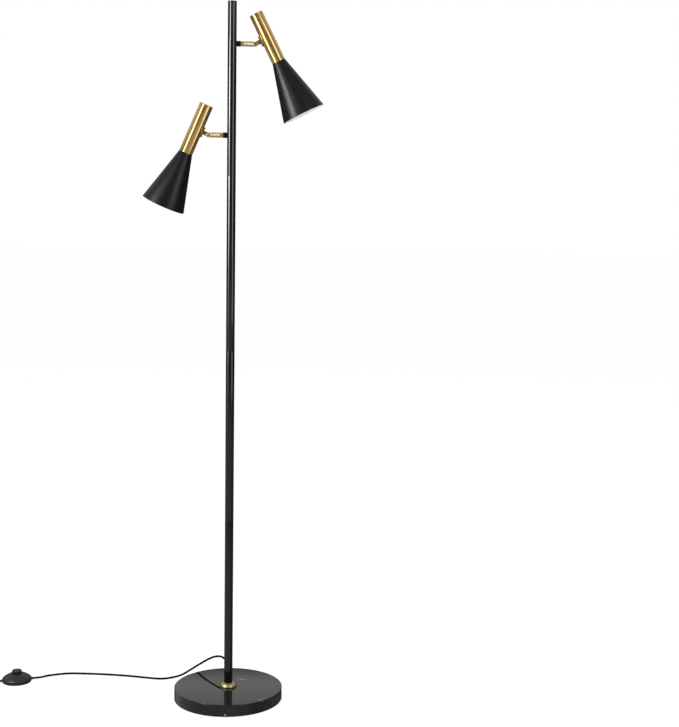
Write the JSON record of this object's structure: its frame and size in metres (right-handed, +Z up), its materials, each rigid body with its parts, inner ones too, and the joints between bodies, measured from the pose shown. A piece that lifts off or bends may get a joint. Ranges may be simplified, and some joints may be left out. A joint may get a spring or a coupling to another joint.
{
  "type": "tree floor lamp",
  "caption": "Slim floor lamp with a round marble base, a straight pole and side arms whose conical shades swivel and tilt, with a mains lead and a round foot switch.",
  "frame": {"origin": "centre of the base's underside, on the floor", "axes": "+Z up along the pole, +X along the upper arm, +Y to the back, where the lead leaves the pole"},
  "size_m": [0.8968, 0.4196, 1.611],
  "materials": {
    "marble": "polished black marble with fine white veins",
    "felt": "black felt",
    "zinc_steel": "zinc-plated steel",
    "gold_polished": "polished gold-coloured brass",
    "gold_brushed": "finely brushed gold-coloured brass",
    "pole_black": "satin black powder coat",
    "shade_black": "matte black outside, white inside",
    "rubber_black": "soft black rubber",
    "lead_black": "black sheathed mains lead",
    "tie_black": "black tie",
    "switch_black": "black moulded plastic",
    "plug_black": "black moulded plastic",
    "plug_blades": "plain brass",
    "holder_black": "black heat-proof plastic",
    "bulb_opal": "opal glass"
  },
  "bodies": {
    "root": {"base_nut": "zinc_steel", "base_pad": "felt", "base_stud": "zinc_steel", "base_washer": "zinc_steel", "cord_coil": "lead_black", "cord_tie": "tie_black", "cord_to_coil": "lead_black", "cord_to_plug": "lead_black", "cord_to_switch": "lead_black", "foot_ring": "gold_polished", "lower_arm_collar": "pole_black", "lower_arm_nipple": "zinc_steel", "lower_arm_nut": "zinc_steel", "lower_swivel_ring": "gold_polished", "marble_base": "marble", "plug_blades": "plug_blades", "plug_body": "plug_black", "plug_relief": "rubber_black", "pole_cap": "pole_black", "pole_couplers": "zinc_steel", "pole_gland": "rubber_black", "pole_lead": "lead_black", "pole_section_1": "pole_black", "pole_section_2": "pole_black", "pole_section_3": "pole_black", "pole_section_4": "pole_black", "switch_base": "switch_black", "switch_block": "switch_black", "switch_cover": "switch_black", "switch_relief_in": "rubber_black", "switch_relief_out": "rubber_black", "switch_screws": "zinc_steel", "switch_spring": "zinc_steel", "upper_arm_collar": "pole_black", "upper_arm_nipple": "zinc_steel", "upper_arm_nut": "zinc_steel", "upper_swivel_ring": "gold_polished"},
    "upper_arm": {"upper_arm_rod": "gold_polished", "upper_hinge_nut": "zinc_steel", "upper_hinge_screw": "gold_polished"},
    "upper_head": {"upper_bulb": "bulb_opal", "upper_head_bracket": "gold_polished", "upper_head_tube": "gold_brushed", "upper_lampholder": "holder_black", "upper_saddle_screws": "gold_polished", "upper_shade": "shade_black", "upper_shade_ring": "holder_black", "upper_tube_cap": "gold_brushed"},
    "lower_arm": {"lower_arm_rod": "gold_polished", "lower_hinge_nut": "zinc_steel", "lower_hinge_screw": "gold_polished"},
    "lower_head": {"lower_bulb": "bulb_opal", "lower_head_bracket": "gold_polished", "lower_head_tube": "gold_brushed", "lower_lampholder": "holder_black", "lower_saddle_screws": "gold_polished", "lower_shade": "shade_black", "lower_shade_ring": "holder_black", "lower_tube_cap": "gold_brushed"},
    "button": {"switch_button": "switch_black"}
  },
  "joints": [
    {"name": "upper_swivel", "type": "hinge", "parent": "root", "child": "upper_arm", "pos_m": [0.052, 0, 1.5176], "axis": [1, 0, 0], "range_deg": [-165, 165]},
    {"name": "upper_tilt", "type": "hinge", "parent": "upper_arm", "child": "upper_head", "pos_m": [0.052, 0, 1.5176], "axis": [0, -1, 0], "range_deg": [-31, 24]},
    {"name": "lower_swivel", "type": "hinge", "parent": "root", "child": "lower_arm", "pos_m": [-0.052, 0, 1.314], "axis": [-1, 0, 0], "range_deg": [-165, 165]},
    {"name": "lower_tilt", "type": "hinge", "parent": "lower_arm", "child": "lower_head", "pos_m": [-0.052, 0, 1.314], "axis": [0, 0.9934, 0.1149], "range_deg": [-28, 26]},
    {"name": "switch_press", "type": "slide", "parent": "root", "child": "button", "axis": [0, 0, -1], "range_m": [0, 0.004], "stiffness_N_per_m": 1200, "springref_m": -0.002, "deforming": ["switch_spring"]}
  ]
}
